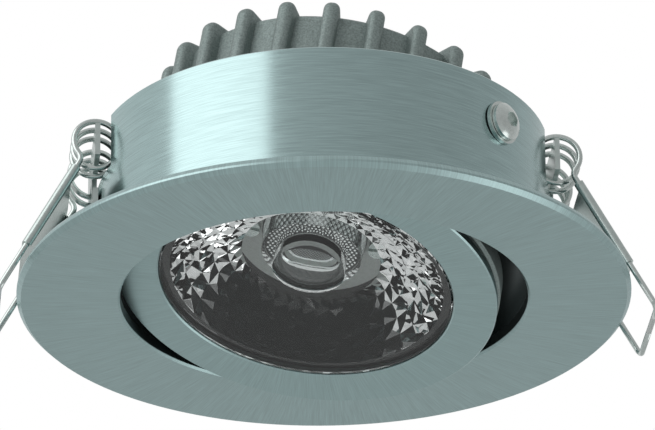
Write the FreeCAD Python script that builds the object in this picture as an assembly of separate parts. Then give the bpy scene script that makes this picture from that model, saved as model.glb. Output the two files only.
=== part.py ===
"""Tilting recessed soffit downlight with two folding spring clips.

Millimetres, +Z up. The origin is the centre of the flange's back face, which
seats against the underside of the soffit, so the light shines towards -Z.
The spring clips stand on +X and -X, and the lamp tilts about a level axis
that lies 45 degrees from them. The lamp is drawn tilted, as it is pictured.
"""
import FreeCAD, Part
import math
import os

Vector = FreeCAD.Vector
UP = Vector(0, 0, 1)
ORIGIN = Vector(0, 0, 0)
overcut = 1.0                   # how far a cutting shape runs past what it cuts

# ---------------------------------------------------------------- trim ring
flange_radius = 42.0
flange_thickness = 1.8
rim_bevel = 0.6                 # at the flange's face
rim_back_width = 1.2            # the rounding behind the rim, inwards
rim_back_depth = 0.9            # and along the rim
flange_width = 10.8             # from the rim to the collar
opening_bevel = 0.3
opening_lip = 2.5               # of the flange, inside the collar
collar_wall = 0.8
collar_height = 21.3            # above the flange's back face
collar_top_bevel = 0.2
root_fillet = 0.5               # between the flange's back and the collar

# --------------------------------------------------------------- lamp pivot
pivot_drop = 6.1                # from the collar's top edge to the pivot
pivot_azimuth = -45.0
tilt_at_rest = 13.8             # from level, as pictured
face_recess = 0.2               # lamp face behind the flange face when level
pivot_shank_radius = 1.5
pivot_running_clearance = 0.05
pivot_thread_depth = 6.5
pivot_head_radius = 2.6
pivot_head_height = 1.6
pivot_head_band = 0.6           # straight side of the domed head
pivot_socket_across = 2.0
pivot_socket_depth = 1.0
washer_radius = 3.0
washer_thickness = 0.5
bush_radius = 3.0
bush_spigot_radius = 2.15
bush_seat_clearance = 0.05
boss_radius = 3.4
boss_gap = 3.1                  # between the boss face and the collar

# --------------------------------------------------------------- front ring
ring_side_gap = 1.55            # round the ring, in the level opening
ring_width = 6.0
ring_thickness = 1.0
ring_bevel = 0.2
ring_gap = 0.9                  # shadow groove between the ring and the sink
spigot_setback = 1.9            # from the edge of the sink's base
spigot_wall = 0.9
spigot_depth = 1.8              # how far the spigot enters the sink's groove
spigot_clearance = 0.05

# --------------------------------------------------------------------- lens
lens_clearance = 0.15
lens_proud_clearance = 0.2      # lens face behind the ring face
lens_flange_thickness = 1.2
lens_facets = 36
lens_rows = 4
lens_mouth_step = 1.45          # from the ring's bore to the faceted bowl
lens_back_radius = 6.2
lens_well_radius = 5.0
lens_well_depth = 5.5
lens_back_gap = 0.2
gasket_thickness = 0.6
gasket_width = 2.6

# ---------------------------------------------------------------- heat sink
sink_side_gap = 3.9             # room round the sink to tilt in the collar
sink_base_thickness = 3.5
sink_base_bevel = 0.4
base_step = 3.6                 # width of the base round the drum
drum_top = 12.9                 # above the pivot
drum_bevel = 0.7
fin_count = 24
fin_setback = 1.5               # from the edge of the base
fin_thickness = 2.2
fin_rise = 1.15                 # fin tops above the drum's top
fin_top_reach = 7.1             # how far the fins' tops run in over the drum
fin_corner = 1.6
fin_round = 0.95
fin_root = 1.5                  # how far the fins run into the drum and the base
cavity_clearance = 1.0
led_floor = 0.6                 # level of the light engine's seat, above the pivot
led_well_gap = 0.7              # round the light engine's clamp
led_well_depth = 4.2
wiring_floor = 5.0
cover_ledge = 3.0               # of the wiring space, under the rear cover
wire_bore_radius = 2.2
wire_bore_offset = 8.6

# ------------------------------------------------------------- light engine
pad_thickness = 0.3
board_size = 13.2
board_thickness = 1.0
emitter_radius = 4.6
emitter_height = 0.4
holder_radius = 10.5
holder_height = 3.1
holder_window_radius = 5.6
holder_pocket_clearance = 0.2
holder_screw_offset = 8.6
holder_screw_radius = 1.0
holder_screw_length = 5.0
holder_head_radius = 1.5
holder_head_height = 1.0
holder_head_sink = 0.6
holder_head_clearance = 0.1
holder_funnel = 1.2             # how much wider the window is at its mouth
holder_clearance = 0.05         # from the board's face to the clamp's pocket
lead_radius = 0.55
lead_spacing = 2.0
lead_bend = 1.6
lead_entry = 0.8                # depth of the leads' ends in the clamp

# ------------------------------------------------------------- wiring space
cover_radius = 14.5
cover_thickness = 1.4
cover_clearance = 0.1
cover_screw_inset = 1.6         # from the cover's edge
cover_screw_radius = 0.9
cover_screw_length = 5.0
cover_head_radius = 1.3
cover_head_height = 0.7
grommet_inset = 4.3             # from the wiring space's wall
grommet_hole_radius = 3.0
grommet_flange_radius = 4.0
grommet_flange_thickness = 0.9
grommet_bore_radius = 1.8
grommet_lip = 0.7               # wall of the tapered lip round the cord
grommet_lip_rise = 0.6
terminal_length = 12.0
terminal_width = 8.0
terminal_height = 5.4
terminal_offset = 1.6
terminal_pitch = 5.0
terminal_screw_radius = 1.4
terminal_screw_rise = 0.3
terminal_screw_depth = 2.5
terminal_mouth_radius = 1.1
slot_width = 0.5
slot_depth = 0.4

# ------------------------------------------------------------- spring clips
wire_radius = 0.4
coil_radius = 3.2               # to the middle of the wire
coil_drop = 3.5                 # from the collar's top edge to the coil axis
coil_full_turns = 2
leg_spacing = 15.7
leg_rim_gap = 0.8               # from the flange's rim to the leg's middle line
leg_offset = 0.55               # leg line outside the coil axis
leg_overhang = 5.45             # along the leg, from the flange's back to the tip bar
tip_bend = 1.0
kink_bend = 1.3
tail_angle = 200.0              # where the inner end leaves the coil
tail_wall_clearance = 0.05
bracket_thickness = 0.7
bracket_width = 8.0
bracket_bottom = 2.2            # clear of the ceiling board
bracket_seat_clearance = 0.02
bracket_shoulder_drop = 0.9     # shoulder below the notch floor
stem_width = 1.6
finger_height = 4.8
finger_overrun = 0.3
stem_clearance = 0.3
notch_side_clearance = 0.95
notch_floor_clearance = 0.7
rivet_radius = 0.8
rivet_head_radius = 1.6
rivet_head_height = 0.7
rivet_inner_height = 0.4
rivet_upset_radius = 1.3        # of the closed end inside the collar
rivet_clearance = 0.05          # from the closed end to the collar's bore
rivet_heights = (4.0, 8.6)
plate_thickness = 0.25
plate_start = 5.0               # along the leg, from the coil axis
plate_lift = 2.05               # along the leg, from the flange's back to the plate's end
plate_wire_clearance = 0.03
plate_lip_share = 0.8           # how far round under the wire the rolled edge reaches

# -------------------------------------------------- sizes that follow these
collar_radius = flange_radius - flange_width    # outer face of the collar
collar_bore = collar_radius - collar_wall
opening_radius = collar_bore - opening_lip
boss_end_radius = collar_bore - boss_gap
pivot_height = collar_height - pivot_drop
coil_height = collar_height - coil_drop
ring_radius = opening_radius - ring_side_gap
ring_bore_radius = ring_radius - ring_width
lens_mouth_radius = ring_bore_radius - lens_mouth_step
sink_base_radius = collar_bore - sink_side_gap
spigot_radius = sink_base_radius - spigot_setback
drum_radius = sink_base_radius - base_step
fin_radius = sink_base_radius - fin_setback
fin_top_inner_radius = drum_radius - fin_top_reach
face_level = -(pivot_height + flange_thickness) + face_recess   # from the pivot
ring_back = face_level + ring_thickness
sink_bottom = ring_back + ring_gap
spigot_top = sink_bottom + spigot_depth
spigot_bore = spigot_radius - spigot_wall
lens_flange_radius = spigot_bore - lens_clearance
lens_face = face_level + lens_proud_clearance
lens_flange_back = ring_back + lens_flange_thickness
sink_land = lens_flange_back + gasket_thickness
sink_base_top = sink_bottom + sink_base_thickness
cavity_mouth_radius = lens_mouth_radius + cavity_clearance
board_back = led_floor - pad_thickness
board_front = board_back - board_thickness
holder_front = led_floor - holder_height
led_well_radius = holder_radius + led_well_gap
wiring_radius = cover_radius - cover_ledge
cover_screw_offset = cover_radius - cover_screw_inset
grommet_offset = wiring_radius - grommet_inset
lens_back = holder_front - lens_back_gap
cover_seat = drum_top - cover_thickness
coil_axis_x = collar_radius + bracket_seat_clearance + bracket_thickness / 2
coil_outer_radius = coil_radius + wire_radius
coil_inner_y = stem_width / 2 + stem_clearance + wire_radius
leg_y = leg_spacing / 2
leg_run = math.sqrt(flange_radius ** 2 - leg_y ** 2) + leg_rim_gap - coil_axis_x
leg_fall = math.hypot(leg_run, coil_height)
leg_slope = math.degrees(math.atan2(coil_height, leg_run) + math.asin(leg_offset / leg_fall))
leg_cosine = math.cos(math.radians(leg_slope))
leg_sine = math.sin(math.radians(leg_slope))
leg_to_back = (coil_height + leg_offset * leg_cosine) / leg_sine    # down to the flange's back
leg_reach = leg_to_back + leg_overhang
plate_end = leg_to_back - plate_lift
notch_half_width = leg_y + wire_radius + notch_side_clearance
notch_floor = coil_height - coil_outer_radius - notch_floor_clearance
plate_bore_radius = wire_radius + plate_wire_clearance


# ------------------------------------------------------------------ helpers
def tube(outer, inner, low, high):
    """A plain ring about Z between two levels."""
    body = Part.makeCylinder(outer, high - low, Vector(0, 0, low))
    return body.cut(Part.makeCylinder(inner, high - low, Vector(0, 0, low)))


def rod(radius, start, direction, length):
    """A straight round bar from a point along a direction."""
    return Part.makeCylinder(radius, length, start, direction)


def block(x_range, y_range, z_range):
    """A box between its three pairs of limits."""
    size = [high - low for low, high in (x_range, y_range, z_range)]
    return Part.makeBox(*size, Vector(x_range[0], y_range[0], z_range[0]))


def revolve(points):
    """A solid turned about Z from a closed outline of (radius, level) points."""
    outline = [Vector(r, 0, z) for r, z in points]
    face = Part.Face(Part.makePolygon(outline + outline[:1]))
    return face.revolve(ORIGIN, UP, 360)


def turned(shape, angle):
    """A copy turned about Z."""
    copy = shape.copy()
    copy.rotate(ORIGIN, UP, angle)
    return copy


def merged(shapes):
    """One solid from shapes that share volume."""
    return shapes[0].multiFuse(list(shapes[1:])).removeSplitter()


def group(shapes):
    """Several separate solids kept in one node."""
    return Part.makeCompound(shapes)


def rounded_path(points, radii):
    """Straight runs joined by arcs that touch them, as a list of edges."""
    edges, start = [], points[0]
    for before, corner, after, radius in zip(points, points[1:], points[2:], radii):
        back = (before - corner).normalize()
        ahead = (after - corner).normalize()
        half = back.getAngle(ahead) / 2
        trim = radius / math.tan(half)
        centre = corner + (back + ahead).normalize() * (radius / math.sin(half))
        enter, leave = corner + back * trim, corner + ahead * trim
        middle = centre + (corner - centre).normalize() * radius
        edges += [Part.LineSegment(start, enter).toShape(), Part.Arc(enter, middle, leave).toShape()]
        start = leave
    return edges + [Part.LineSegment(start, points[-1]).toShape()]


def touching_arc(start, corner, end):
    """The arc from start to end whose end tangents meet at the corner."""
    chord_middle = (start + end) * 0.5
    slope = (corner - start).getAngle(end - start)
    rise = math.tan(slope / 2) / math.tan(slope)
    return Part.Arc(start, chord_middle + (corner - chord_middle) * rise, end).toShape()


def biarc(start, start_way, end, end_way):
    """Two arcs that leave start along start_way and reach end along end_way."""
    span = end - start
    square = 2 * (1 - start_way.dot(end_way))
    linear = 2 * span.dot(start_way + end_way)
    root = math.sqrt(linear * linear + 4 * square * span.dot(span))
    reach = (root - linear) / (2 * square)
    first, second = start + start_way * reach, end - end_way * reach
    joint = (first + second) * 0.5
    return [touching_arc(start, first, joint), touching_arc(joint, second, end)]


def wire_tube(edges, radius):
    """One unbroken round tube along a chain of touching edges."""
    spine = Part.Wire(edges)
    first = edges[0]
    at = first.valueAt(first.FirstParameter)
    way = first.tangentAt(first.FirstParameter)
    section = Part.Wire(Part.Circle(at, way, radius).toShape())
    return spine.makePipeShell([section], True, False)


def domed_screw_head(radius, height, band, across, depth):
    """A domed head about +Z on the plane z = 0, with a hexagon socket."""
    rise = height - band
    ball = (radius * radius + rise * rise) / (2 * rise)
    dome = Part.makeSphere(ball, Vector(0, 0, height - ball))
    head = Part.makeCylinder(radius, height).common(dome)
    corner = Vector(across / math.sqrt(3), 0, height - depth)
    outline = [turned_point(corner, 60 * step) for step in range(7)]
    socket = Part.Face(Part.makePolygon(outline)).extrude(Vector(0, 0, depth))
    return head.cut(socket)


def turned_point(point, angle):
    """A point turned about Z."""
    return FreeCAD.Rotation(UP, angle).multVec(point)


def slotted_head(radius, height):
    """A flat head about +Z on the plane z = 0, with a driver slot."""
    head = Part.makeCylinder(radius, height)
    half = slot_width / 2
    return head.cut(block((-radius, radius), (-half, half), (height - slot_depth, height)))


# ------------------------------------------------------------ the trim ring
def pivot_frame(shape, azimuth):
    """Carry a shape drawn about +Z out along the pivot line at an azimuth."""
    copy = shape.copy()
    copy.rotate(ORIGIN, Vector(0, 1, 0), 90)
    copy.rotate(ORIGIN, UP, azimuth)
    return copy


def pivot_pair(shape):
    """The two opposite copies of a shape drawn about +Z, on the level lamp."""
    return [pivot_frame(shape, pivot_azimuth + turn) for turn in (0, 180)]


def lifted(shapes):
    """Shapes moved up from the pivot's level to the trim ring's."""
    for shape in shapes:
        shape.translate(Vector(0, 0, pivot_height))
    return shapes


def trim_ring():
    """Flange and collar in one piece, with clip notches and pivot holes."""
    outline = [
        (opening_radius + opening_bevel, -flange_thickness),
        (flange_radius - rim_bevel, -flange_thickness),
        (flange_radius, -flange_thickness + rim_bevel),
        (flange_radius, -rim_back_depth),
        (flange_radius - rim_back_width / 3, -rim_back_depth / 4),
        (flange_radius - rim_back_width, 0),
        (collar_radius + root_fillet, 0),
        (collar_radius, root_fillet),
        (collar_radius, collar_height - collar_top_bevel),
        (collar_radius - collar_top_bevel, collar_height),
        (collar_bore, collar_height),
        (collar_bore, 0),
        (opening_radius, 0),
        (opening_radius, -flange_thickness + opening_bevel),
    ]
    ring = revolve(outline)
    reach = collar_radius + overcut
    for side in (-1, 1):
        near, far = sorted((side * spigot_radius, side * reach))
        ring = ring.cut(block((near, far), (-notch_half_width, notch_half_width),
                              (notch_floor, collar_height + overcut)))
        for height in rivet_heights:
            ring = ring.cut(rod(rivet_radius, Vector(0, 0, height), Vector(side, 0, 0), reach))
    hole = rod(bush_spigot_radius + bush_seat_clearance, ORIGIN, UP, reach)
    for bore in lifted(pivot_pair(hole)):
        ring = ring.cut(bore)
    return ring


# ----------------------------------------------------------- pivot hardware
def pivot_bushes():
    """Nylon spacers between collar and lamp, each with a spigot in the collar."""
    start = boss_end_radius + pivot_running_clearance
    seat = math.sqrt(collar_bore ** 2 - bush_radius ** 2) - bush_seat_clearance
    body = rod(bush_radius, Vector(0, 0, start), UP, seat - start)
    spigot = rod(bush_spigot_radius, Vector(0, 0, seat), UP,
                 collar_radius - bush_seat_clearance - seat)
    bore = rod(pivot_shank_radius + pivot_running_clearance, ORIGIN, UP, collar_radius + overcut)
    return group(lifted(pivot_pair(body.fuse(spigot).cut(bore))))


def washer_seat():
    """Distance of the washers' inner faces from the lamp axis."""
    return collar_radius + bush_seat_clearance


def pivot_washers():
    """Plain washers outside the collar, under the screw heads."""
    bore = pivot_shank_radius + pivot_running_clearance
    washer = tube(washer_radius, bore, washer_seat(), washer_seat() + washer_thickness)
    return group(lifted(pivot_pair(washer)))


def pivot_screws():
    """Domed socket screws through collar and bush into the lamp's bosses."""
    under_head = washer_seat() + washer_thickness + pivot_running_clearance
    tip = boss_end_radius - pivot_thread_depth
    head = domed_screw_head(pivot_head_radius, pivot_head_height, pivot_head_band,
                            pivot_socket_across, pivot_socket_depth)
    head.translate(Vector(0, 0, under_head))
    shank = rod(pivot_shank_radius, Vector(0, 0, tip), UP, under_head - tip)
    return group(pivot_pair(head.fuse(shank)))


# ----------------------------------------------------------------- the lamp
def front_ring():
    """Flat brushed ring round the lens, with a spigot that enters the sink."""
    return revolve([
        (ring_bore_radius, face_level + ring_bevel),
        (ring_bore_radius + ring_bevel, face_level),
        (ring_radius - ring_bevel, face_level),
        (ring_radius, face_level + ring_bevel),
        (ring_radius, ring_back),
        (spigot_radius, ring_back),
        (spigot_radius, spigot_top - spigot_clearance),
        (spigot_bore, spigot_top - spigot_clearance),
        (spigot_bore, ring_back),
        (ring_bore_radius, ring_back),
    ])


def lens_row(index):
    """One ring of corner points on the lens's curved back, and its half turn."""
    share = index / lens_rows
    radius = lens_mouth_radius + (lens_back_radius - lens_mouth_radius) * share
    curve = ((lens_mouth_radius ** 2 - radius ** 2)
             / (lens_mouth_radius ** 2 - lens_back_radius ** 2))
    level = lens_flange_back + (lens_back - lens_flange_back) * curve
    step = 360 / lens_facets
    shift = step / 2 * (index % 2)
    return [turned_point(Vector(radius, 0, level), shift + step * k) for k in range(lens_facets)]


def lens():
    """Clear optic: front disc, faceted bowl behind it and a well over the light."""
    rows = [lens_row(index) for index in range(lens_rows + 1)]
    faces = [Part.Face(Part.makePolygon(rows[0] + rows[0][:1])),
             Part.Face(Part.makePolygon(rows[-1] + rows[-1][:1]))]
    for index, (low, high) in enumerate(zip(rows, rows[1:])):
        for k in range(lens_facets):
            after = (k + 1) % lens_facets
            crown = high[k] if index % 2 == 0 else high[after]
            foot = low[after] if index % 2 == 0 else low[k]
            faces.append(Part.Face(Part.makePolygon([low[k], low[after], crown, low[k]])))
            faces.append(Part.Face(Part.makePolygon([high[k], high[after], foot, high[k]])))
    bowl = Part.makeSolid(Part.makeShell(faces))
    if bowl.Volume < 0:
        bowl.reverse()
    disc = Part.makeCylinder(lens_flange_radius, lens_flange_thickness, Vector(0, 0, ring_back))
    window = Part.makeCylinder(ring_bore_radius - lens_clearance, ring_back - lens_face,
                               Vector(0, 0, lens_face))
    well = rod(lens_well_radius, Vector(0, 0, lens_back - lens_well_depth), UP, lens_well_depth)
    return bowl.fuse(disc).fuse(window).cut(well)


def lens_gasket():
    """Soft ring between the lens flange and the sink's land."""
    outer = lens_flange_radius
    return tube(outer, outer - gasket_width, lens_flange_back, sink_land)


def sink_fin():
    """One radial fin on +X, rounded at its outer edge and upper corner."""
    top = drum_top + fin_rise
    inner = drum_radius - fin_root
    foot = sink_base_top - fin_root
    corner = Vector(fin_radius - fin_corner, 0, top - fin_corner)
    points = [Vector(inner, 0, foot), Vector(fin_radius, 0, foot),
              Vector(fin_radius, 0, top - fin_corner)]
    lean = Vector(fin_corner * math.sqrt(0.5), 0, fin_corner * math.sqrt(0.5))
    crown = Vector(fin_radius - fin_corner, 0, top)
    after = [crown, Vector(fin_top_inner_radius, 0, top),
             Vector(fin_top_inner_radius, 0, drum_top - drum_bevel),
             Vector(inner, 0, drum_top - drum_bevel), points[0]]
    edges = list(Part.makePolygon(points).Edges)
    edges.append(Part.Arc(points[-1], corner + lean, crown).toShape())
    edges += Part.makePolygon(after).Edges
    fin = Part.Face(Part.Wire(edges)).extrude(Vector(0, fin_thickness, 0))
    fin.translate(Vector(0, -fin_thickness / 2, 0))
    outer = [edge for edge in fin.Edges if is_outer_fin_edge(edge)]
    return fin.makeFillet(fin_round, outer)


def is_outer_fin_edge(edge):
    """Whether an edge runs along the fin's outer face or round its corner."""
    middle = edge.valueAt((edge.FirstParameter + edge.LastParameter) / 2)
    along = abs(edge.Vertexes[0].Y - edge.Vertexes[-1].Y) < fin_thickness / 2
    return along and middle.x > fin_radius - fin_corner * 0.5 and middle.z > sink_base_top


def sink_cavity():
    """The space under the sink: lens bowl, light engine well and spigot groove."""
    bowl = revolve([
        (0, sink_bottom - overcut),
        (lens_flange_radius + lens_clearance, sink_bottom - overcut),
        (lens_flange_radius + lens_clearance, sink_land),
        (cavity_mouth_radius, sink_land),
        (led_well_radius, led_floor - led_well_depth),
        (led_well_radius, led_floor),
        (0, led_floor),
    ])
    groove = tube(spigot_radius + spigot_clearance, spigot_bore - spigot_clearance,
                  sink_bottom - overcut, spigot_top)
    return bowl.fuse(groove)


def heat_sink():
    """Cast finned body: base, drum, fins, pivot bosses and the spaces inside."""
    base = revolve([
        (0, sink_bottom),
        (sink_base_radius - sink_base_bevel, sink_bottom),
        (sink_base_radius, sink_bottom + sink_base_bevel),
        (sink_base_radius, sink_base_top - sink_base_bevel),
        (sink_base_radius - sink_base_bevel, sink_base_top),
        (drum_radius, sink_base_top),
        (drum_radius, drum_top - drum_bevel),
        (drum_radius - drum_bevel, drum_top),
        (0, drum_top),
    ])
    step = 360 / fin_count
    fin = sink_fin()
    fins = [turned(fin, step * (k + 0.5)) for k in range(fin_count)]
    boss = rod(boss_radius, ORIGIN, UP, boss_end_radius)
    body = merged([base] + fins + pivot_pair(boss))
    thread = rod(pivot_shank_radius, Vector(0, 0, boss_end_radius - pivot_thread_depth), UP,
                 pivot_thread_depth + overcut)
    cuts = [sink_cavity()] + pivot_pair(thread)
    cuts.append(rod(wiring_radius, Vector(0, 0, wiring_floor), UP, drum_top))
    cuts.append(rod(cover_radius + cover_clearance, Vector(0, 0, cover_seat), UP, drum_top))
    cuts.append(rod(wire_bore_radius, Vector(0, wire_bore_offset, led_floor), UP, wiring_floor))
    for side in (-1, 1):
        hole_top = Vector(side * cover_screw_offset, 0, drum_top - cover_screw_length)
        cuts.append(rod(cover_screw_radius, hole_top, UP, cover_screw_length))
        hole_foot = Vector(side * holder_screw_offset, 0, holder_head_seat())
        cuts.append(rod(holder_screw_radius, hole_foot, UP, holder_screw_length))
    return body.cut(cuts)


# ------------------------------------------------------------- light engine
def square_plate(size, low, high):
    """A square plate centred on the lamp axis."""
    half = size / 2
    return block((-half, half), (-half, half), (low, high))


def led_emitter():
    """Round light-giving patch on the board, with a slight dome."""
    patch = rod(emitter_radius, Vector(0, 0, board_front - emitter_height), UP, emitter_height)
    ball_radius = 6 * emitter_radius
    ball = Part.makeSphere(ball_radius, Vector(0, 0, board_front - emitter_height + ball_radius))
    return patch.common(ball)


def holder_head_seat():
    """Level of the shoulder that the holder's screw heads press on."""
    return holder_front + holder_head_sink


def led_holder():
    """Round clamp over the board, with a window, a pocket and two screws."""
    body = rod(holder_radius, Vector(0, 0, holder_front), UP, holder_height)
    funnel = Part.makeCone(holder_window_radius + holder_funnel, holder_window_radius, holder_height,
                           Vector(0, 0, holder_front))
    body = body.cut(funnel)
    body = body.cut(square_plate(board_size + 2 * holder_pocket_clearance,
                                 board_front - holder_clearance, led_floor))
    for side in (-1, 1):
        at = Vector(side * holder_screw_offset, 0, holder_front)
        body = body.cut(rod(holder_screw_radius, at, UP, holder_height))
        body = body.cut(rod(holder_head_radius + holder_head_clearance, at, UP, holder_head_sink))
    for at in lead_places():
        body = body.cut(rod(lead_radius, Vector(at, wire_bore_offset, holder_front + lead_entry), UP,
                            holder_height))
    return body


def holder_screws():
    """Two small slotted screws that hold the clamp to the sink."""
    screws = []
    for side in (-1, 1):
        head = slotted_head(holder_head_radius, holder_head_height)
        head.rotate(ORIGIN, Vector(1, 0, 0), 180)
        shank = rod(holder_screw_radius, ORIGIN, UP, holder_screw_length)
        screw = head.fuse(shank)
        screw.translate(Vector(side * holder_screw_offset, 0, holder_head_seat()))
        screws.append(screw)
    return group(screws)


def lead_places():
    """The two leads' distances from the plane that halves them."""
    return (-lead_spacing / 2, lead_spacing / 2)


def led_leads():
    """Two insulated leads from the clamp up through the bore to the terminals."""
    rise = wiring_floor + terminal_height / 2
    face = terminal_offset + terminal_width / 2
    leads = []
    for at in lead_places():
        points = [Vector(at, wire_bore_offset, holder_front + lead_entry),
                  Vector(at, wire_bore_offset, rise), Vector(at, face, rise)]
        leads.append(wire_tube(rounded_path(points, [lead_bend]), lead_radius))
    return group(leads)


# ------------------------------------------------------------- wiring space
def terminal_screw_places():
    """Where the terminal screws stand on the block's top."""
    return [Vector(side * terminal_pitch / 2, terminal_offset, wiring_floor + terminal_height)
            for side in (-1, 1)]


def terminal_block():
    """Two-pole connector block on the wiring space's floor."""
    middle, half = terminal_offset, terminal_width / 2
    body = block((-terminal_length / 2, terminal_length / 2), (middle - half, middle + half),
                 (wiring_floor, wiring_floor + terminal_height))
    for at in terminal_screw_places():
        body = body.cut(rod(terminal_screw_radius, at, -UP, terminal_screw_depth))
        mouth = Vector(at.x, middle - half, wiring_floor + terminal_height / 2)
        body = body.cut(rod(terminal_mouth_radius, mouth, Vector(0, 1, 0), half))
    return body


def terminal_screws():
    """The two slotted clamping screws."""
    screws = []
    for at in terminal_screw_places():
        screw = slotted_head(terminal_screw_radius, terminal_screw_depth + terminal_screw_rise)
        screw.translate(at - Vector(0, 0, terminal_screw_depth))
        screws.append(screw)
    return group(screws)


def rear_cover():
    """Round plate that closes the wiring space, with a hole for the grommet."""
    plate = rod(cover_radius, Vector(0, 0, cover_seat), UP, cover_thickness)
    cuts = [rod(grommet_hole_radius, Vector(0, -grommet_offset, cover_seat), UP, cover_thickness)]
    for side in (-1, 1):
        at = Vector(side * cover_screw_offset, 0, cover_seat)
        cuts.append(rod(cover_screw_radius, at, UP, cover_thickness))
    return plate.cut(cuts)


def cover_screws():
    """Two slotted screws that hold the rear cover."""
    screws = []
    for side in (-1, 1):
        head = slotted_head(cover_head_radius, cover_head_height)
        screw = head.fuse(rod(cover_screw_radius, ORIGIN, -UP, cover_screw_length))
        screw.translate(Vector(side * cover_screw_offset, 0, drum_top))
        screws.append(screw)
    return group(screws)


def cable_grommet():
    """Rubber grommet in the rear cover: a waist between two flanges."""
    low = cover_seat - grommet_flange_thickness
    high = drum_top + grommet_flange_thickness
    grommet = revolve([
        (grommet_bore_radius, low),
        (grommet_flange_radius, low),
        (grommet_flange_radius, cover_seat),
        (grommet_hole_radius, cover_seat),
        (grommet_hole_radius, drum_top),
        (grommet_flange_radius, drum_top),
        (grommet_bore_radius + grommet_lip, high + grommet_lip_rise),
        (grommet_bore_radius, high + grommet_lip_rise),
    ])
    grommet.translate(Vector(0, -grommet_offset, 0))
    return grommet


# ------------------------------------------------------------- spring clips
def clip_point(along, across):
    """A point in the clip's plane: along its leg and out from the coil axis."""
    x = coil_axis_x + along * leg_cosine + across * leg_sine
    z = coil_height - along * leg_sine + across * leg_cosine
    return x, z


def coil_place(angle, y):
    """A point on the coil's middle line, its angle counted up from level."""
    turn = math.radians(angle)
    return Vector(coil_axis_x + coil_radius * math.cos(turn), y,
                  coil_height + coil_radius * math.sin(turn))


def coil_way(angle, climb):
    """The direction of the coil's middle line, with its drift along Y."""
    turn = math.radians(angle)
    return Vector(-math.sin(turn), climb, math.cos(turn)).normalize()


def coil_start():
    """Where the leg's kink meets the coil: (angle, distance along the leg)."""
    out = leg_offset + kink_bend
    along = math.sqrt((coil_radius + kink_bend) ** 2 - out ** 2)
    return math.degrees(math.atan2(out, along)) - leg_slope, along


def spring_half(side):
    """Edges from a coil's free inner end out to the tip bar's corner arc."""
    start_angle, along = coil_start()
    total = tail_angle - start_angle + 360 * coil_full_turns
    pieces = math.ceil(total / 90)
    step = total / pieces
    drift = (leg_y - coil_inner_y) / (pieces - 1)
    climb = -side * drift / (coil_radius * math.radians(step))
    places, ways = [], []
    for k in range(pieces + 1):
        shift = min(max(k - 0.5, 0), pieces - 1) * drift
        angle = start_angle + step * k
        places.append(coil_place(angle, side * (leg_y - shift)))
        ways.append(coil_way(angle, climb if 0 < k < pieces else 0))
    coil = []
    for k in range(pieces):
        coil += biarc(places[k], ways[k], places[k + 1], ways[k + 1])
    tail_end = places[-1] + ways[-1] * tail_length(places[-1], ways[-1])
    tail = Part.LineSegment(tail_end, places[-1]).toShape()
    kink_turn = math.radians(90 - leg_slope - start_angle)
    corner = places[0] - ways[0] * kink_bend * math.tan(kink_turn / 2)
    leg_x, leg_z = clip_point(along, leg_offset)
    leg_top = Vector(leg_x, side * leg_y, leg_z)
    kink = touching_arc(places[0], corner, leg_top)
    return [tail] + coil[::-1] + [kink], leg_top


def tail_length(place, way):
    """How far the inner end runs before it presses on the collar's bore."""
    return (collar_bore - wire_radius - tail_wall_clearance - place.x) / way.x


def clip_spring():
    """One wire: tail, coil and leg, the tip bar, then leg, coil and tail."""
    near, near_top = spring_half(-1)
    far, far_top = spring_half(1)
    tip_x, tip_z = clip_point(leg_reach, leg_offset)
    points = [near_top, Vector(tip_x, -leg_y, tip_z), Vector(tip_x, leg_y, tip_z), far_top]
    loop = rounded_path(points, [tip_bend, tip_bend])
    edges = near + loop + far[::-1]
    report_gap("clip spring", edges)
    return wire_tube(edges, wire_radius)


def report_gap(name, edges):
    """Print how near the wire comes to itself, measured on points along it."""
    spacing, points, run = 0.25, [], 0.0
    for edge in edges:
        count = max(2, math.ceil(edge.Length / spacing))
        ends = [edge.valueAt(edge.FirstParameter), edge.valueAt(edge.LastParameter)]
        places = edge.discretize(Number=count + 1)
        if points and (ends[0] - points[-1][1]).Length > (ends[1] - points[-1][1]).Length:
            places = places[::-1]
        for k, place in enumerate(places):
            points.append((run + edge.Length * k / count, place))
        run += edge.Length
    apart = 4 * wire_radius * 2
    least = min((a[1] - b[1]).Length for i, a in enumerate(points[::2])
                for b in points[::2][i + 1:] if b[0] - a[0] > apart)
    print(f"{name}: length {run:.1f}, least gap to itself {least - 2 * wire_radius:.2f}")


def clip_plate():
    """Sheet between the two legs, its edges rolled round the wires."""
    outer = plate_bore_radius + plate_thickness
    ends = [clip_point(along, leg_offset) for along in (plate_start, plate_end)]
    start, end = [Vector(x, 0, z) for x, z in ends]
    run = end - start
    normal = Vector(-run.z, 0, run.x).normalize()
    across = Vector(0, leg_y, 0)
    lift = normal * plate_bore_radius
    web = slab([start + lift - across, start + normal * outer - across,
                start + normal * outer + across, start + lift + across], run)
    pieces = [web]
    for side in (-1, 1):
        foot = start + across * side
        sheath = rod(outer, foot, run, run.Length).cut(rod(plate_bore_radius, foot, run, run.Length))
        inward = Vector(0, -side * 2 * outer, 0)
        low = normal * -plate_bore_radius * plate_lip_share
        pieces.append(sheath.cut(slab([foot + low, foot + low + inward, foot + lift + inward,
                                       foot + lift], run)))
    return merged(pieces)


def slab(corners, run):
    """A prism from a flat outline."""
    return Part.Face(Part.makePolygon(corners + corners[:1])).extrude(run)


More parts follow.
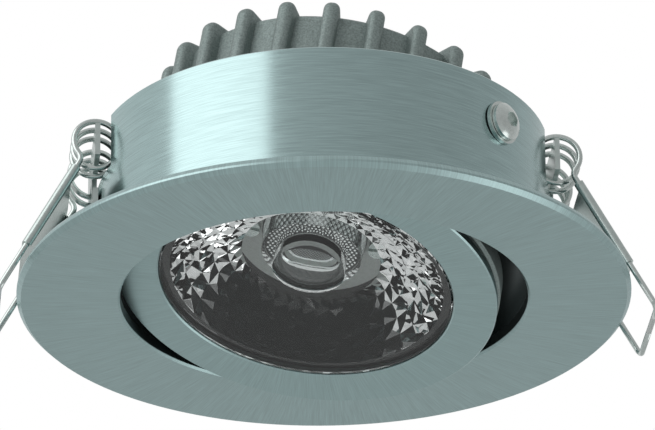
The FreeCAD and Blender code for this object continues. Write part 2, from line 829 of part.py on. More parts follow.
def clip_bracket():
    """Flat T-shaped sheet: a riveted foot, a stem and two fingers in the coils."""
    near = collar_radius + bracket_seat_clearance
    thick = (near, near + bracket_thickness)
    shoulder = notch_floor - bracket_shoulder_drop
    foot = block(thick, (-bracket_width / 2, bracket_width / 2), (bracket_bottom, shoulder))
    stem = block(thick, (-stem_width / 2, stem_width / 2), (shoulder, coil_height))
    reach = leg_y + wire_radius + finger_overrun
    fingers = block(thick, (-reach, reach),
                    (coil_height - finger_height / 2, coil_height + finger_height / 2))
    body = merged([foot, stem, fingers])
    for height in rivet_heights:
        body = body.cut(rod(rivet_radius, Vector(0, 0, height), Vector(1, 0, 0), near + overcut))
    return body


def bracket_rivets():
    """Four rivets that join the brackets to the collar."""
    rivets = []
    outer_face = collar_radius + bracket_seat_clearance + bracket_thickness
    inner_face = collar_bore - rivet_clearance
    for side in (-1, 1):
        way = Vector(side, 0, 0)
        for height in rivet_heights:
            inner = Vector(side * inner_face, 0, height)
            outer = Vector(side * outer_face, 0, height)
            shank = rod(rivet_radius, inner, way, outer_face - inner_face)
            head = rod(rivet_head_radius, outer, way, rivet_head_height)
            upset = rod(rivet_upset_radius, inner, way * -1, rivet_inner_height)
            rivets.append(shank.fuse(head).fuse(upset))
    return group(rivets)


# -------------------------------------------------------------- the assembly
def tilted(shape):
    """A lamp piece carried to the pivot and tilted as pictured."""
    azimuth = math.radians(pivot_azimuth)
    axis = Vector(math.cos(azimuth), math.sin(azimuth), 0)
    copy = shape.copy()
    copy.rotate(ORIGIN, axis, -tilt_at_rest)
    copy.translate(Vector(0, 0, pivot_height))
    return copy


def lamp_pieces():
    """Every piece that tilts, drawn level about the pivot."""
    return {
        "heat_sink": heat_sink(),
        "front_ring": front_ring(),
        "lens": lens(),
        "lens_gasket": lens_gasket(),
        "thermal_pad": square_plate(board_size, board_back, led_floor),
        "led_board": square_plate(board_size, board_front, board_back),
        "led_emitter": led_emitter(),
        "led_holder": led_holder(),
        "holder_screws": holder_screws(),
        "led_leads": led_leads(),
        "terminal_block": terminal_block(),
        "terminal_screws": terminal_screws(),
        "rear_cover": rear_cover(),
        "cover_screws": cover_screws(),
        "cable_grommet": cable_grommet(),
        "pivot_screws": pivot_screws(),
    }


def build():
    """All pieces of the light by name, each in its place."""
    pieces = {
        "trim_ring": trim_ring(),
        "pivot_bushes": pivot_bushes(),
        "pivot_washers": pivot_washers(),
        "bracket_rivets": bracket_rivets(),
    }
    spring, plate, bracket = clip_spring(), clip_plate(), clip_bracket()
    for name, turn in (("right", 0), ("left", 180)):
        pieces["clip_bracket_" + name] = turned(bracket, turn)
        pieces["clip_spring_" + name] = turned(spring, turn)
        pieces["clip_plate_" + name] = turned(plate, turn)
    for name, shape in lamp_pieces().items():
        pieces[name] = tilted(shape)
    return pieces


os.makedirs("parts", exist_ok=True)
for node, shape in build().items():
    shape.exportStep(os.path.join("parts", node + ".step"))
    solids = len(shape.Solids)
    print(f"{node}: {solids} solid(s), {shape.Volume:.1f} mm3, valid {shape.isValid()}")
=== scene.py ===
"""Looks of a tilting recessed soffit downlight with two folding spring clips.

Metres, +Z up. The trim ring's back face lies on z = 0, and the light shines
towards -Z. The lamp inside the ring is drawn tilted about its pivot screws.
"""

import logging
import math
from dataclasses import dataclass
from enum import Enum
from typing import Dict, List, Sequence, Tuple

import bmesh
import bpy
from mathutils import Matrix, Vector


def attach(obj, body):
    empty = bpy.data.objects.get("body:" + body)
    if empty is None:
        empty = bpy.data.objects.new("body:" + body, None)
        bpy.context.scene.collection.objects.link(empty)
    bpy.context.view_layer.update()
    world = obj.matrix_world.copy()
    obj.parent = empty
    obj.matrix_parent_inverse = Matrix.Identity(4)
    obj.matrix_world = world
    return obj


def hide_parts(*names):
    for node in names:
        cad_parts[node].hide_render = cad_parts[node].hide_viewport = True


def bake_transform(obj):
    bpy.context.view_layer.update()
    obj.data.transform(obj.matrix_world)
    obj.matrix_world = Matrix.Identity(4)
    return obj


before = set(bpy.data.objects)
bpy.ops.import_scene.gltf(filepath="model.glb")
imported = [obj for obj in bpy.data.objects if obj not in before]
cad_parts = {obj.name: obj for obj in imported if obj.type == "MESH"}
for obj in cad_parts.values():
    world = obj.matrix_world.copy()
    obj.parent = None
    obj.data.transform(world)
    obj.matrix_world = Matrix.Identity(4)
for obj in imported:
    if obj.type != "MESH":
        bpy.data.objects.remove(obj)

log = logging.getLogger("downlight")

MM = 0.001

Colour = Tuple[float, float, float]


class Grain(Enum):
    """Which way the fine lines of a brushed face run."""

    RAYS = "out from the axis"
    TRIM = "out from the axis on the flange, round the collar"


@dataclass(frozen=True)
class Place:
    """Where an assembly stands, as a turn about a level axis and a lift."""

    height: float
    axis_azimuth: float
    angle: float

    def matrix(self) -> Matrix:
        """Returns the matrix that carries a level piece to its place."""
        azimuth = math.radians(self.axis_azimuth)
        axis = Vector((math.cos(azimuth), math.sin(azimuth), 0))
        turn = Matrix.Rotation(math.radians(self.angle), 4, axis)
        return Matrix.Translation((0, 0, self.height)) @ turn


LEVEL = Place(0.0, 0.0, 0.0)
LAMP = Place(15.2 * MM, -45.0, -13.8)


class NodeTree:
    """The shader nodes of a material or a world."""

    def __init__(self, owner: bpy.types.ID) -> None:
        """Clears the owner's tree.

        Args:
            owner: The material or the world.
        """
        owner.use_nodes = True
        self.tree = owner.node_tree
        self.tree.nodes.clear()

    def add(self, kind: str, **settings: object) -> bpy.types.Node:
        """Adds a node.

        Args:
            kind: The node's type.
            settings: Its properties.

        Returns:
            The new node.
        """
        node = self.tree.nodes.new(kind)
        for name, value in settings.items():
            setattr(node, name, value)
        return node

    def link(self, source: bpy.types.NodeSocket, target: bpy.types.NodeSocket) -> None:
        """Joins two sockets."""
        self.tree.links.new(source, target)

    def maths(self, operation: str, *terms: object) -> bpy.types.NodeSocket:
        """Adds a sum or comparison of sockets and numbers.

        Args:
            operation: The Math node's operation.
            terms: Sockets or numbers, in the node's order.

        Returns:
            The result.
        """
        node = self.add("ShaderNodeMath", operation=operation)
        for slot, term in zip(node.inputs, terms):
            if isinstance(term, bpy.types.NodeSocket):
                self.link(term, slot)
            else:
                slot.default_value = term
        return node.outputs[0]

    def mixed(self, factor: bpy.types.NodeSocket, first: object, second: object,
              kind: str = "RGBA", blend: str = "MIX") -> bpy.types.NodeSocket:
        """Adds a mix of two colours or two numbers.

        Args:
            factor: 0 gives the first, 1 the second.
            first: A socket or a value.
            second: A socket or a value.
            kind: The Mix node's data type.
            blend: How two colours mix.

        Returns:
            The result.
        """
        node = self.add("ShaderNodeMix", data_type=kind, blend_type=blend)
        self.link(factor, node.inputs["Factor"])
        for name, term in (("A", first), ("B", second)):
            if isinstance(term, bpy.types.NodeSocket):
                self.link(term, node.inputs[name])
            else:
                node.inputs[name].default_value = term
        return node.outputs["Result"]

    def parts(self, vector: bpy.types.NodeSocket) -> bpy.types.bpy_prop_collection:
        """Splits a vector, and returns its X, Y and Z sockets."""
        node = self.add("ShaderNodeSeparateXYZ")
        self.link(vector, node.inputs[0])
        return node.outputs


class Surface(NodeTree):
    """A material's node tree round one Principled shader."""

    def __init__(self, name: str) -> None:
        """Starts the tree.

        Args:
            name: The finish's name.
        """
        self.material = bpy.data.materials.new(name)
        super().__init__(self.material)
        self.shader = self.add("ShaderNodeBsdfPrincipled")
        output = self.add("ShaderNodeOutputMaterial")
        self.link(self.shader.outputs["BSDF"], output.inputs["Surface"])

    def dress(self, **values: object) -> None:
        """Sets the shader's own sockets, an underscore standing for a space."""
        for name, value in values.items():
            self.shader.inputs[name.replace("_", " ")].default_value = value

    def noise(self, vector: bpy.types.NodeSocket, scale: float,
              detail: float = 2.0) -> bpy.types.NodeSocket:
        """Adds a noise pattern.

        Args:
            vector: Where the pattern is read.
            scale: Its fineness.
            detail: How many finer layers it has.

        Returns:
            The pattern's value, about 0.5.
        """
        node = self.add("ShaderNodeTexNoise")
        node.inputs["Scale"].default_value = scale
        node.inputs["Detail"].default_value = detail
        self.link(vector, node.inputs["Vector"])
        return node.outputs["Fac"]

    def coordinates(self, place: Place) -> bpy.types.NodeSocket:
        """Adds coordinates in an assembly's own level frame.

        Args:
            place: Where the assembly stands.

        Returns:
            The coordinates, in metres.
        """
        source = self.add("ShaderNodeTexCoord").outputs["Object"]
        mapping = self.add("ShaderNodeMapping", vector_type="TEXTURE")
        mapping.inputs["Location"].default_value = place.matrix().to_translation()
        mapping.inputs["Rotation"].default_value = place.matrix().to_euler()
        self.link(source, mapping.inputs["Vector"])
        return mapping.outputs["Vector"]

    def shade(self, value: bpy.types.NodeSocket, dark: Colour, light: Colour,
              low: float = 0.3, high: float = 0.7) -> None:
        """Colours the shader by a pattern.

        Args:
            value: The pattern.
            dark: Colour at and below low.
            light: Colour at and above high.
            low: Lower end of the pattern's range.
            high: Upper end of it.
        """
        ramp = self.add("ShaderNodeValToRGB")
        first, last = ramp.color_ramp.elements
        first.position, last.position = low, high
        first.color, last.color = (*dark, 1), (*light, 1)
        self.link(value, ramp.inputs["Fac"])
        self.link(ramp.outputs["Color"], self.shader.inputs["Base Color"])

    def paint_shade(self, mask: bpy.types.NodeSocket, share: float) -> None:
        """Dims the base colour to a share of itself where a mask is 1, as painted shade."""
        target = self.shader.inputs["Base Color"]
        plain = target.links[0].from_socket
        self.link(self.mixed(mask, plain, (share, share, share, 1), blend="MULTIPLY"), target)

    def roughen(self, value: bpy.types.NodeSocket, low: float, high: float) -> None:
        """Spreads the shader's roughness over a pattern, from low to high."""
        spread = self.add("ShaderNodeMapRange", clamp=False)
        spread.inputs["To Min"].default_value = low
        spread.inputs["To Max"].default_value = high
        self.link(value, spread.inputs["Value"])
        self.link(spread.outputs["Result"], self.shader.inputs["Roughness"])

    def bump(self, value: bpy.types.NodeSocket, strength: float, depth: float) -> None:
        """Raises the surface by a pattern, by depth at full strength."""
        node = self.add("ShaderNodeBump")
        node.inputs["Strength"].default_value = strength
        node.inputs["Distance"].default_value = depth
        self.link(value, node.inputs["Height"])
        self.link(node.outputs["Normal"], self.shader.inputs["Normal"])


def scaled(colour: Colour, factor: float) -> Colour:
    """Returns a colour made lighter or darker."""
    return tuple(min(1.0, part * factor) for part in colour)


@dataclass(frozen=True)
class BrushedMetal:
    """Satin metal with fine lines, and, where asked, painted shade on the inner wall of a collar.
    """

    name: str
    colour: Colour
    grain: Grain
    place: Place
    roughness: float = 0.36
    collar_roughness: float = 0.2
    roughness_spread: float = 0.06
    collar_foot: float = 0.1 * MM
    ray_count: float = 260.0
    line_pitch: float = 0.12 * MM
    line_length: float = 5 * MM
    line_depth: float = 0.02 * MM
    relief: float = 0.25
    contrast: float = 0.12
    # Painted shade inside a collar: the radius within which and the level above which it falls, and
    # the share of colour left.
    painted_shade_radius: float = 0.0
    painted_shade_above: float = -1.4 * MM
    painted_shade_share: float = 0.12

    def material(self) -> bpy.types.Material:
        """Returns the finish's material."""
        sheet = Surface(self.name)
        here = sheet.parts(sheet.coordinates(self.place))
        flat = sheet.add("ShaderNodeCombineXYZ")
        sheet.link(here["X"], flat.inputs["X"])
        sheet.link(here["Y"], flat.inputs["Y"])
        radius = sheet.add("ShaderNodeVectorMath", operation="LENGTH")
        sheet.link(flat.outputs[0], radius.inputs[0])
        way = sheet.add("ShaderNodeVectorMath", operation="NORMALIZE")
        sheet.link(flat.outputs[0], way.inputs[0])
        around = sheet.parts(way.outputs["Vector"])
        rays = self.lines(sheet, around, self.ray_count,
                          sheet.maths("DIVIDE", radius.outputs["Value"], self.line_length))
        value = rough = rays
        if self.grain is Grain.TRIM:
            bands = self.lines(sheet, around, self.ray_count * self.line_pitch / self.line_length,
                               sheet.maths("DIVIDE", here["Z"], self.line_pitch))
            on_collar = sheet.maths("GREATER_THAN", here["Z"], self.collar_foot)
            value = sheet.mixed(on_collar, rays, bands, "FLOAT")
            smoother = (self.roughness - self.collar_roughness) / (2 * self.roughness_spread)
            rough = sheet.maths("SUBTRACT", value, sheet.maths("MULTIPLY", on_collar, smoother))
        sheet.shade(value, scaled(self.colour, 1 - self.contrast),
                    scaled(self.colour, 1 + self.contrast))
        sheet.roughen(rough, self.roughness - self.roughness_spread,
                      self.roughness + self.roughness_spread)
        sheet.bump(value, self.relief, self.line_depth)
        sheet.dress(Metallic=1.0)
        # Painted shade: the collar's inner wall is dimmed to stand for the dark lamp housing it
        # faces.
        if self.painted_shade_radius > 0:
            near = sheet.maths("LESS_THAN", radius.outputs["Value"], self.painted_shade_radius)
            deep = sheet.maths("GREATER_THAN", here["Z"], self.painted_shade_above)
            sheet.paint_shade(sheet.maths("MULTIPLY", near, deep), self.painted_shade_share)
        return sheet.material

    @staticmethod
    def lines(sheet: Surface, around: bpy.types.bpy_prop_collection, count: float,
              along: bpy.types.NodeSocket) -> bpy.types.NodeSocket:
        """Adds noise drawn out into lines.

        Args:
            sheet: The material.
            around: The direction from the axis, in its parts.
            count: Fineness round the axis.
            along: Place along the lines' other direction.

        Returns:
            The pattern's value.
        """
        vector = sheet.add("ShaderNodeCombineXYZ")
        for name in ("X", "Y"):
            sheet.link(sheet.maths("MULTIPLY", around[name], count), vector.inputs[name])
        sheet.link(along, vector.inputs["Z"])
        return sheet.noise(vector.outputs[0], 1.0, 3.0)


@dataclass(frozen=True)
class CastMetal:
    """Matt cast metal with a fine grit, and painted shade in its bore and cavity."""

    name: str
    colour: Colour
    place: Place
    roughness: float = 0.55
    metallic: float = 0.75
    duller: float = 0.1
    brighter: float = 0.08
    contrast: float = 0.25
    grit: float = 0.25 * MM
    grit_depth: float = 0.1 * MM
    relief: float = 0.6
    # Painted shade in the bore and the cavity: their radii, their tops, and the share of colour
    # left.
    bore_radius: float = 24.9 * MM
    bore_top: float = -11.6 * MM
    cavity_radius: float = 21.5 * MM
    cavity_top: float = 0.7 * MM
    hollow_shade_share: float = 0.12

    def material(self) -> bpy.types.Material:
        """Returns the finish's material."""
        sheet = Surface(self.name)
        here = sheet.coordinates(self.place)
        fine = sheet.noise(here, 1 / self.grit, 3.0)
        patches = sheet.noise(here, 0.1 / self.grit)
        sheet.shade(fine, scaled(self.colour, 1 - self.contrast),
                    scaled(self.colour, 1 + self.contrast))
        sheet.roughen(patches, self.roughness - self.brighter, self.roughness + self.duller)
        sheet.bump(fine, self.relief, self.grit_depth)
        sheet.dress(Metallic=self.metallic)
        # Painted shade: the heat sink's bore and cavity are dimmed to stand for the little light
        # that reaches them.
        where = sheet.parts(here)
        squares = [sheet.maths("POWER", where[name], 2.0) for name in ("X", "Y")]
        square = sheet.maths("ADD", *squares)
        shaded_hollows = []
        for radius, top in ((self.bore_radius, self.bore_top),
                            (self.cavity_radius, self.cavity_top)):
            near = sheet.maths("LESS_THAN", square, radius ** 2)
            low = sheet.maths("LESS_THAN", where["Z"], top)
            shaded_hollows.append(sheet.maths("MULTIPLY", near, low))
        sheet.paint_shade(sheet.maths("MAXIMUM", *shaded_hollows), self.hollow_shade_share)
        return sheet.material


@dataclass(frozen=True)
class PlainFinish:
    """An even finish with a faint mottle: smooth metal, plastic or rubber."""

    name: str
    colour: Colour
    roughness: float
    metallic: float = 0.0
    mottle: float = 0.06
    roughness_share: float = 0.15
    grain: float = 0.6 * MM

    def material(self) -> bpy.types.Material:
        """Returns the finish's material."""
        sheet = Surface(self.name)
        value = sheet.noise(sheet.coordinates(LEVEL), 1 / self.grain)
        sheet.shade(value, scaled(self.colour, 1 - self.mottle),
                    scaled(self.colour, 1 + self.mottle))
        sheet.roughen(value, self.roughness * (1 - self.roughness_share),
                      min(1.0, self.roughness * (1 + self.roughness_share)))
        sheet.dress(Metallic=self.metallic)
        return sheet.material


@dataclass(frozen=True)
class ClearFinish:
    """Clear moulded plastic."""

    name: str
    colour: Colour
    ior: float = 1.49
    cloud: float = 3 * MM
    contrast: float = 0.01

    def material(self) -> bpy.types.Material:
        """Returns the finish's material."""
        sheet = Surface(self.name)
        value = sheet.noise(sheet.coordinates(LAMP), 1 / self.cloud)
        sheet.shade(value, scaled(self.colour, 1 - self.contrast), self.colour)
        sheet.dress(Transmission_Weight=1.0, IOR=self.ior, Roughness=0.0)
        return sheet.material


STEEL_GREY: Colour = (0.395, 0.53, 0.53)
# The trim's collar gets painted shade on its inner wall.
TRIM_METAL = BrushedMetal("brushed_trim", STEEL_GREY, Grain.TRIM, LEVEL, painted_shade_radius=30.7 * MM)
RING_METAL = BrushedMetal("brushed_ring", STEEL_GREY, Grain.RAYS, LAMP)
CAST_METAL = CastMetal("cast_aluminium", (0.26, 0.315, 0.305), LAMP)
SHEET_METAL = PlainFinish("clip_steel", (0.55, 0.62, 0.6), 0.3, 1.0)
WIRE_METAL = PlainFinish("spring_wire", (0.62, 0.68, 0.66), 0.2, 1.0)
SCREW_METAL = PlainFinish("screw_steel", (0.66, 0.72, 0.7), 0.2, 1.0)
RIVET_METAL = PlainFinish("rivet_metal", (0.5, 0.55, 0.54), 0.35, 1.0)
NYLON = PlainFinish("black_nylon", (0.02, 0.024, 0.024), 0.45)
SILICONE = PlainFinish("silicone", (0.09, 0.12, 0.12), 0.6)
PAD_GREY = PlainFinish("grey_pad", (0.3, 0.32, 0.32), 0.8)
CERAMIC = PlainFinish("white_ceramic", (0.8, 0.82, 0.8), 0.4)
PHOSPHOR = PlainFinish("phosphor", (0.85, 0.66, 0.12), 0.5)
WHITE_PLASTIC = PlainFinish("white_plastic", (0.72, 0.75, 0.73), 0.35)
LEAD_PLASTIC = PlainFinish("lead_insulation", (0.7, 0.72, 0.7), 0.4)
COVER_PLATE = PlainFinish("black_plate", (0.03, 0.034, 0.034), 0.4)
RUBBER = PlainFinish("black_rubber", (0.018, 0.02, 0.02), 0.65)
OPTIC_CLEAR = ClearFinish("clear_optic", (0.95, 0.985, 0.98))
CELL_DARK = PlainFinish("cell_ground", (0.05, 0.065, 0.065), 0.4)
CELL_BRIGHT = PlainFinish("cell_domes", (0.95, 0.97, 0.96), 0.15, 1.0)
FLOOR_PAINT = PlainFinish("pale_floor", (0.75, 0.76, 0.76), 0.8, mottle=0.01, grain=50 * MM)

NODE_FINISHES: Dict[str, object] = {
    "trim_ring": TRIM_METAL,
    "front_ring": RING_METAL,
    "heat_sink": CAST_METAL,
    "pivot_screws": SCREW_METAL,
    "pivot_washers": SCREW_METAL,
    "pivot_bushes": NYLON,
    "clip_bracket_right": SHEET_METAL,
    "clip_bracket_left": SHEET_METAL,
    "clip_plate_right": SHEET_METAL,
    "clip_plate_left": SHEET_METAL,
    "bracket_rivets": RIVET_METAL,
    "lens_gasket": SILICONE,
    "thermal_pad": PAD_GREY,
    "led_board": CERAMIC,
    "led_emitter": PHOSPHOR,
    "led_holder": WHITE_PLASTIC,
    "holder_screws": SCREW_METAL,
    "led_leads": LEAD_PLASTIC,
    "terminal_block": WHITE_PLASTIC,
    "terminal_screws": SCREW_METAL,
    "rear_cover": COVER_PLATE,
    "cover_screws": SCREW_METAL,
    "cable_grommet": RUBBER,
}


class Finishes:
    """Makes each finish's material once."""

    def __init__(self) -> None:
        """Starts with no materials."""
        self.made: Dict[str, bpy.types.Material] = {}

    def of(self, finish: object) -> bpy.types.Material:
        """Returns the finish's material, made at its first use."""
        if finish.name not in self.made:
            self.made[finish.name] = finish.material()
        return self.made[finish.name]

    def dress_node(self, name: str, finish: object) -> None:
        """Gives a CAD node its finish in every slot.

        Args:
            name: The node.
            finish: Its finish.
        """
        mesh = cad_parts[name].data
        mesh.materials.clear()
        mesh.materials.append(self.of(finish))
        log.info("dressed %s as %s", name, finish.name)


def piece_from(shape: bmesh.types.BMesh, name: str, materials: Sequence[bpy.types.Material],
               smooth: bool = True) -> bpy.types.Object:
    """Makes a shown piece of a shape, and frees the shape.

    Args:
        shape: The finished shape, in the frame's metres.
        name: The piece's name.
        materials: Its materials, in the order of the faces' numbers.
        smooth: Whether its faces shade smoothly.

    Returns:
        The piece.
    """
    mesh = bpy.data.meshes.new(name)
    shape.to_mesh(mesh)
    shape.free()
    for material in materials:
        mesh.materials.append(material)
    for polygon in mesh.polygons:
        polygon.use_smooth = smooth
    piece = bpy.data.objects.new(name, mesh)
    bpy.context.scene.collection.objects.link(piece)
    log.info("made %s with %d faces", name, len(mesh.polygons))
    return piece


@dataclass
class SpringClip:
    """One wire spring, whose inner ends stay with the collar as it folds."""
    # One wire spring, made as two halves cut at its middle.

    side: str
    turn: float
    finishes: Finishes
    coil_x: float = 31.57 * MM
    coil_z: float = 17.8 * MM
    coil_inner: float = 1.9 * MM
    coil_outer: float = 7.4 * MM
    leg_slope: float = 61.0
    lean: float = 0.28
    weld: float = 0.5e-6

    def build(self) -> List[bpy.types.Object]:
        """Makes the spring's two halves from its solid, and hides the solid.

        Returns:
            The two pieces.
        """
        node = "clip_spring_" + self.side
        halves = [self.half(node, -1), self.half(node, 1)]
        for piece in halves:
            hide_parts(node)
        return halves

    def half(self, node: str, sign: int) -> bpy.types.Object:
        """Makes the half of the spring on one side of its middle.

        Args:
            node: The spring's solid.
            sign: 1 for the half towards +Y, -1 for the other.

        Returns:
            The piece.
        """
        shape = bmesh.new()
        shape.from_mesh(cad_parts[node].data)
        bmesh.ops.remove_doubles(shape, verts=shape.verts, dist=self.weld)
        everything = shape.verts[:] + shape.edges[:] + shape.faces[:]
        cut = bmesh.ops.bisect_plane(shape, geom=everything, dist=self.weld / 5, plane_co=(0, 0, 0),
                                     plane_no=(0, sign, 0), clear_inner=True)
        edges = [item for item in cut["geom_cut"] if isinstance(item, bmesh.types.BMEdge)]
        bmesh.ops.contextual_create(shape, geom=edges)
        bmesh.ops.recalc_face_normals(shape, faces=shape.faces)
        name = f"{node}_{'far' if sign > 0 else 'near'}"
        piece = piece_from(shape, name, [self.finishes.of(WIRE_METAL)])
        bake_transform(piece)
        return piece


DOME_OUTLINE: Sequence[Tuple[float, float]] = ((1.0, 1.0), (0.8, 0.36), (0.5, 0.1), (0.2, 0.0))


@dataclass
class LensOptic:
    """Clear moulded optic: window, faceted bowl, stepped back and centre well.

    Levels are the level lamp's, measured from its pivot axis.
    """

    finishes: Finishes
    face_level: float = -16.6 * MM
    window_radius: float = 20.2 * MM
    window_bevel: float = 0.15 * MM
    flange_level: float = -15.8 * MM
    flange_back: float = -14.6 * MM
    flange_radius: float = 23.55 * MM
    mouth_land: float = 0.4 * MM
    mouth_radius: float = 18.9 * MM
    bowl_end_radius: float = 9.6 * MM
    bowl_end_level: float = -5.2 * MM
    facet_relief: float = -0.18 * MM
    step_radius: float = 6.9 * MM
    step_level: float = -4.8 * MM
    back_radius: float = 6.7 * MM
    back_level: float = -2.7 * MM
    well_radius: float = 5.0 * MM
    well_top: float = -11.6 * MM
    well_dome: float = 0.9 * MM
    facets: int = 36
    rows: int = 5
    steps: int = 144
    sharp_angle: float = math.radians(30)
    cell_pitch: float = 0.64 * MM
    cell_radius: float = 0.24 * MM
    cell_margin: float = 0.36 * MM
    cell_level: float = -2.45 * MM
    ground_thickness: float = 0.1 * MM
    ground_sides: int = 72

    def build(self) -> List[bpy.types.Object]:
        """Makes the optic and the cells behind its well.

        Returns:
            The pieces.
        """
        optic = self.optic()
        cells = self.cells()
        for piece in (optic, cells):
            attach(piece, "lamp")
        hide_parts("lens")
        return [optic, cells]

    def optic(self) -> bpy.types.Object:
        """Makes the clear body in one closed skin.

        Returns:
            The piece.
        """
        shape = bmesh.new()
        bmesh.ops.create_circle(shape, cap_ends=True, segments=self.steps,
                                radius=self.window_radius - self.window_bevel,
                                matrix=Matrix.Translation((0, 0, self.face_level)))
        edges = [edge for edge in shape.edges if edge.is_boundary]
        for radius, level in ((self.window_radius, self.face_level + self.window_bevel),
                              (self.window_radius, self.flange_level),
                              (self.flange_radius, self.flange_level),
                              (self.flange_radius, self.flange_back),
                              (self.mouth_radius + self.mouth_land, self.flange_back)):
            edges = self.ring_on(shape, edges, radius, level)
        outer = edges
        bowl = bmesh.ops.create_circle(shape, cap_ends=False, segments=self.facets,
                                       radius=self.mouth_radius,
                                       matrix=Matrix.Translation((0, 0, self.flange_back)))
        edges = list({edge for vert in bowl["verts"] for edge in vert.link_edges})
        bmesh.ops.triangle_fill(shape, edges=outer + edges, use_beauty=True)
        known = set(shape.faces)
        for row in range(1, self.rows + 1):
            radius, level = self.bowl_point(row / self.rows)
            edges = self.ring_on(shape, edges, radius, level, 0.5 if row % 2 else -0.5)
        faceted = set(shape.faces) - known
        for radius, level in ((self.step_radius, self.step_level),
                              (self.back_radius, self.back_level),
                              (self.well_radius, self.back_level)):
            edges = self.ring_on(shape, edges, radius, level)
        for across, fall in DOME_OUTLINE:
            edges = self.ring_on(shape, edges, self.well_radius * across,
                                 self.well_top + self.well_dome * fall)
        bmesh.ops.contextual_create(shape, geom=edges)
        facets = bmesh.ops.poke(shape, faces=list(faceted), offset=self.facet_relief)["faces"]
        bmesh.ops.recalc_face_normals(shape, faces=shape.faces)
        flat = set(facets)
        for edge in shape.edges:
            sharp = edge.calc_face_angle(0.0) > self.sharp_angle
            edge.smooth = not (sharp or any(face in flat for face in edge.link_faces))
        bmesh.ops.transform(shape, matrix=LAMP.matrix(), verts=shape.verts)
        return piece_from(shape, "lens_optic", [self.finishes.of(OPTIC_CLEAR)])

    def bowl_point(self, share: float) -> Tuple[float, float]:
        """Finds the bowl's outline between its mouth and its end.

        Args:
            share: 0 at the mouth, 1 at the end.

        Returns:
            The radius and the level there.
        """
        radius = self.mouth_radius + (self.bowl_end_radius - self.mouth_radius) * share
        whole = self.mouth_radius ** 2 - self.bowl_end_radius ** 2
        curve = (self.mouth_radius ** 2 - radius ** 2) / whole
        return radius, self.flange_back + (self.bowl_end_level - self.flange_back) * curve

    @staticmethod
    def ring_on(shape: bmesh.types.BMesh, edges: List[bmesh.types.BMEdge], radius: float,
                level: float, shift: float = 0.0) -> List[bmesh.types.BMEdge]:
        """Draws a round edge out to a new radius and level.

        Args:
            shape: The shape.
            edges: Its open round edge.
            radius: The new edge's radius.
            level: The new edge's level.
            shift: Turn about the axis, as a share of one step.

        Returns:
            The new open edge.
        """
        drawn = bmesh.ops.extrude_edge_only(shape, edges=edges)["geom"]
        verts = [item for item in drawn if isinstance(item, bmesh.types.BMVert)]
        grown = radius / verts[0].co.xy.length
        step = 2 * math.pi / len(verts)
        bmesh.ops.rotate(shape, verts=verts, cent=(0, 0, 0),
                         matrix=Matrix.Rotation(shift * step, 3, "Z"))
        bmesh.ops.scale(shape, verts=verts, vec=(grown, grown, 1))
        bmesh.ops.translate(shape, verts=verts, vec=(0, 0, level - verts[0].co.z))
        return [item for item in drawn
                if isinstance(item, bmesh.types.BMEdge) and item.is_boundary]

    def cells(self) -> bpy.types.Object:
        """Makes the honeycomb of small domes on a round ground.

        Returns:
            The piece.
        """
        shape = bmesh.new()
        middle = self.cell_level + self.ground_thickness / 2
        bmesh.ops.create_cone(shape, cap_ends=True, segments=self.ground_sides,
                              radius1=self.back_radius, radius2=self.back_radius,
                              depth=self.ground_thickness,
                              matrix=Matrix.Translation((0, 0, middle)))
        ground = set(shape.faces)
        row_pitch = self.cell_pitch * math.sqrt(0.75)
        reach = int(self.back_radius / self.cell_pitch) + 1
        for row in range(-reach, reach + 1):
            for column in range(-reach, reach + 1):
                x = (column + (row % 2) / 2) * self.cell_pitch
                y = row * row_pitch
                if math.hypot(x, y) < self.back_radius - self.cell_margin:
                    bmesh.ops.create_icosphere(shape, subdivisions=1, radius=self.cell_radius,
                                               matrix=Matrix.Translation((x, y, self.cell_level)))
        for face in shape.faces:
            face.material_index = 0 if face in ground else 1
        bmesh.ops.transform(shape, matrix=LAMP.matrix(), verts=shape.verts)
        materials = [self.finishes.of(CELL_DARK), self.finishes.of(CELL_BRIGHT)]
        return piece_from(shape, "led_cells", materials)


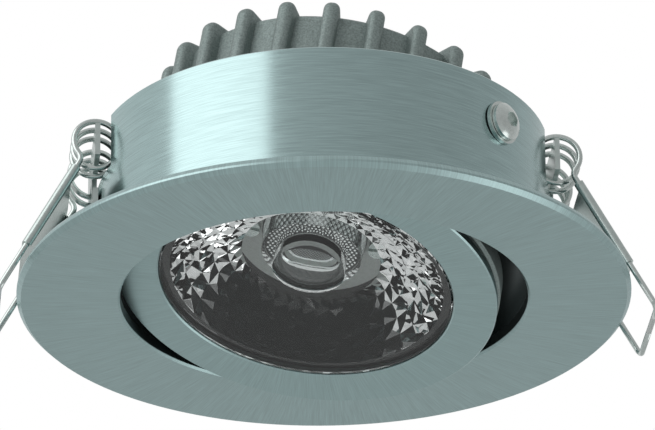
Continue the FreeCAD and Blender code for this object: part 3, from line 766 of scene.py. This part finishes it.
@dataclass
class Studio:
    """Pale floor, white surround, soft lamps and the camera."""

    floor_level: float = -0.8
    surround_level: float = 0.6
    side_fall: float = 0.15
    back_rise: float = 0.12
    soft_level: float = 0.6
    floor_half: float = 3.0
    camera_distance: float = 0.8225
    camera_azimuth: float = -5.6
    camera_elevation: float = -25.22
    camera_roll: float = -0.66
    focal_pixels: float = 6019.2
    image_width: int = 655
    sensor_width: float = 36.0
    face_level: float = -1.8 * MM
    aim_right: float = 0.47 * MM
    aim_up: float = 11.91 * MM

    def build(self) -> None:
        """Makes the surround, the lamps and the camera."""
        self.floor()
        self.surround()
        self.lamps()
        self.camera()

    def floor(self) -> None:
        """Lays the plain floor."""
        shape = bmesh.new()
        bmesh.ops.create_grid(shape, x_segments=1, y_segments=1, size=self.floor_half,
                              matrix=Matrix.Translation((0, 0, self.floor_level)))
        piece_from(shape, "floor", [FLOOR_PAINT.material()])

    def surround(self) -> None:
        """Makes a world that is white behind the object and soft grey round it."""
        world = bpy.data.worlds.new("studio")
        bpy.context.scene.world = world
        sky = NodeTree(world)
        rays = sky.add("ShaderNodeLightPath").outputs
        where = sky.parts(sky.add("ShaderNodeTexCoord").outputs["Generated"])
        across = sky.maths("MULTIPLY_ADD", where["X"], -self.side_fall, self.surround_level)
        mirrored = sky.maths("MULTIPLY_ADD", where["Y"], self.back_rise, across)
        seen = sky.mixed(rays["Is Camera Ray"], mirrored, (1, 1, 1, 1))
        passed = sky.maths("MAXIMUM", rays["Is Glossy Ray"], rays["Is Transmission Ray"])
        direct = sky.maths("MAXIMUM", passed, rays["Is Camera Ray"])
        light = sky.add("ShaderNodeBackground")
        sky.link(sky.mixed(direct, (self.soft_level,) * 3 + (1,), seen), light.inputs["Color"])
        output = sky.add("ShaderNodeOutputWorld")
        sky.link(light.outputs[0], output.inputs["Surface"])

    def lamps(self) -> None:
        """Hangs the soft lamps."""
        self.lamp("key", -59, 25, 0.9, (0.8, 1.1), 3.2)
        self.lamp("fill", 75, -40, 0.9, (0.5, 0.5), 0.8)

    def lamp(self, name: str, azimuth: float, elevation: float, distance: float,
             size: Tuple[float, float], power: float) -> None:
        """Hangs one rectangular soft lamp that faces the object.

        Args:
            name: The lamp's name.
            azimuth: Its direction, as the camera's.
            elevation: Its height in degrees.
            distance: How far it hangs from the object.
            size: Its width and height.
            power: Its power in watts.
        """
        data = bpy.data.lights.new(name, "AREA")
        data.shape = "RECTANGLE"
        data.size, data.size_y = size
        data.energy = power
        lamp = bpy.data.objects.new(name, data)
        bpy.context.scene.collection.objects.link(lamp)
        back = self.direction(azimuth, elevation)
        lamp.location = back * distance
        lamp.rotation_euler = back.to_track_quat("Z", "Y").to_euler()
        lamp.visible_camera = False

    @staticmethod
    def direction(azimuth: float, elevation: float) -> Vector:
        """Returns the way from the object to something seen at these angles."""
        turn, lift = math.radians(azimuth), math.radians(elevation)
        level = math.cos(lift)
        return Vector((math.sin(turn) * level, -math.cos(turn) * level, math.sin(lift)))

    def camera(self) -> None:
        """Sets the camera where the picture was taken from."""
        data = bpy.data.cameras.new("camera")
        data.sensor_width = self.sensor_width
        data.lens = self.focal_pixels / self.image_width * self.sensor_width
        camera = bpy.data.objects.new("camera", data)
        bpy.context.scene.collection.objects.link(camera)
        back = self.direction(self.camera_azimuth, self.camera_elevation)
        eye = Vector((0, 0, self.face_level)) + back * self.camera_distance
        way = Vector((self.aim_right, self.aim_up, -self.camera_distance))
        aim = self.facing(back).to_3x3() @ way
        camera.matrix_world = Matrix.Translation(eye) @ self.facing(-aim)
        bpy.context.scene.camera = camera

    def facing(self, back: Vector) -> Matrix:
        """Finds the camera's turn, with the picture's roll.

        Args:
            back: The way from what it looks at to itself.

        Returns:
            The turn.
        """
        turn = back.to_track_quat("Z", "Y").to_matrix().to_4x4()
        return turn @ Matrix.Rotation(math.radians(self.camera_roll), 4, "Z")


def main() -> None:
    """Dresses the downlight and sets the studio."""
    logging.basicConfig(level=logging.INFO, format="%(message)s")
    bpy.context.scene.view_settings.view_transform = "Standard"
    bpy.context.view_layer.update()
    finishes = Finishes()
    for name, finish in NODE_FINISHES.items():
        finishes.dress_node(name, finish)
    for side, turn in (("right", 0.0), ("left", 180.0)):
        SpringClip(side, turn, finishes).build()
    LensOptic(finishes).build()
    Studio().build()


if __name__ == "__main__":
    main()
